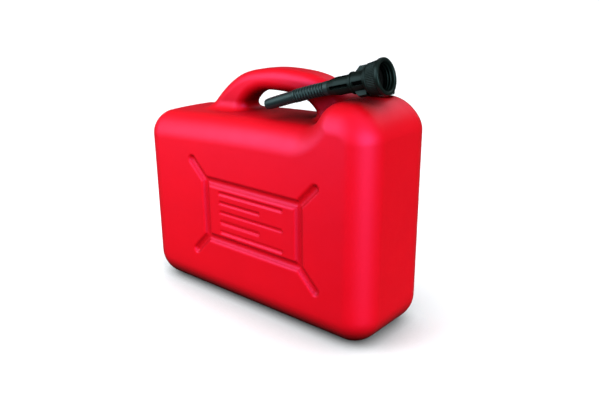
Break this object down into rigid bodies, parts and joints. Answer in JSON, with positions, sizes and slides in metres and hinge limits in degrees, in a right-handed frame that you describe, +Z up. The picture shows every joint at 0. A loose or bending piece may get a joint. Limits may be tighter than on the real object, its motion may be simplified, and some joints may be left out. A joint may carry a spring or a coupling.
{
  "type": "jerry can",
  "caption": "Upright plastic fuel can with an arched carrying handle, a raised filler block, grooved side panels and a flexible pouring spout stowed on top.",
  "frame": {"origin": "middle of the base, where the can stands", "axes": "+Z up; +X along the can's length towards its raised filler block; +Y to the side away from the stowed spout"},
  "size_m": [0.46, 0.162, 0.4076],
  "materials": {
    "tank_red": "semi-matte blow-moulded polyethylene",
    "cap_black": "satin moulded plastic",
    "seal_rubber": "smooth nitrile rubber",
    "spout_black": "satin moulded plastic",
    "strainer_dark": "fine moulded plastic",
    "core_dark": "dull moulded plastic",
    "ferrule_grey": "satin moulded plastic",
    "hose_black": "satin flexible polyethylene",
    "nozzle_black": "satin moulded plastic"
  },
  "bodies": {
    "tank": {"tank_body": "tank_red"},
    "cap": {"cap_disc": "cap_black", "cap_gasket": "seal_rubber"},
    "cap_screw": {"cap_ring": "cap_black"},
    "spout": {"spout_yoke": "spout_black", "spout_snap_ring": "spout_black", "spout_gasket": "seal_rubber", "spout_strainer": "strainer_dark", "spout_core": "core_dark", "spout_sleeve": "spout_black", "spout_ferrule": "ferrule_grey", "spout_vent_tube": "core_dark", "spout_hose": "hose_black"},
    "collar": {"spout_collar": "spout_black"},
    "nozzle": {"spout_nozzle": "nozzle_black"}
  },
  "joints": [
    {"name": "cap_lift", "type": "slide", "parent": "tank", "child": "cap", "axis": [0, 0, 1], "range_m": [0, 0.15]},
    {"name": "cap_ring_turn", "type": "hinge", "parent": "cap", "child": "cap_screw", "pos_m": [0.169, 0.032, 0.36], "axis": [0, 0, 1], "continuous": true},
    {"name": "spout_lift", "type": "slide", "parent": "tank", "child": "spout", "axis": [0, 0, 1], "range_m": [0, 0.15]},
    {"name": "collar_turn", "type": "hinge", "parent": "spout", "child": "collar", "pos_m": [0.19426, -0.02182, 0.37817], "axis": [0.9655, 0.0828, 0.247], "continuous": true},
    {"name": "hose_bend", "type": "hinge", "parent": "spout", "child": "nozzle", "pos_m": [0.09686, -0.03017, 0.3528], "axis": [-0.2796, -0.024, 0.9598], "range_deg": [0, 40], "stiffness_Nm_per_rad": 0.02, "deforming": ["spout_hose"]}
  ]
}
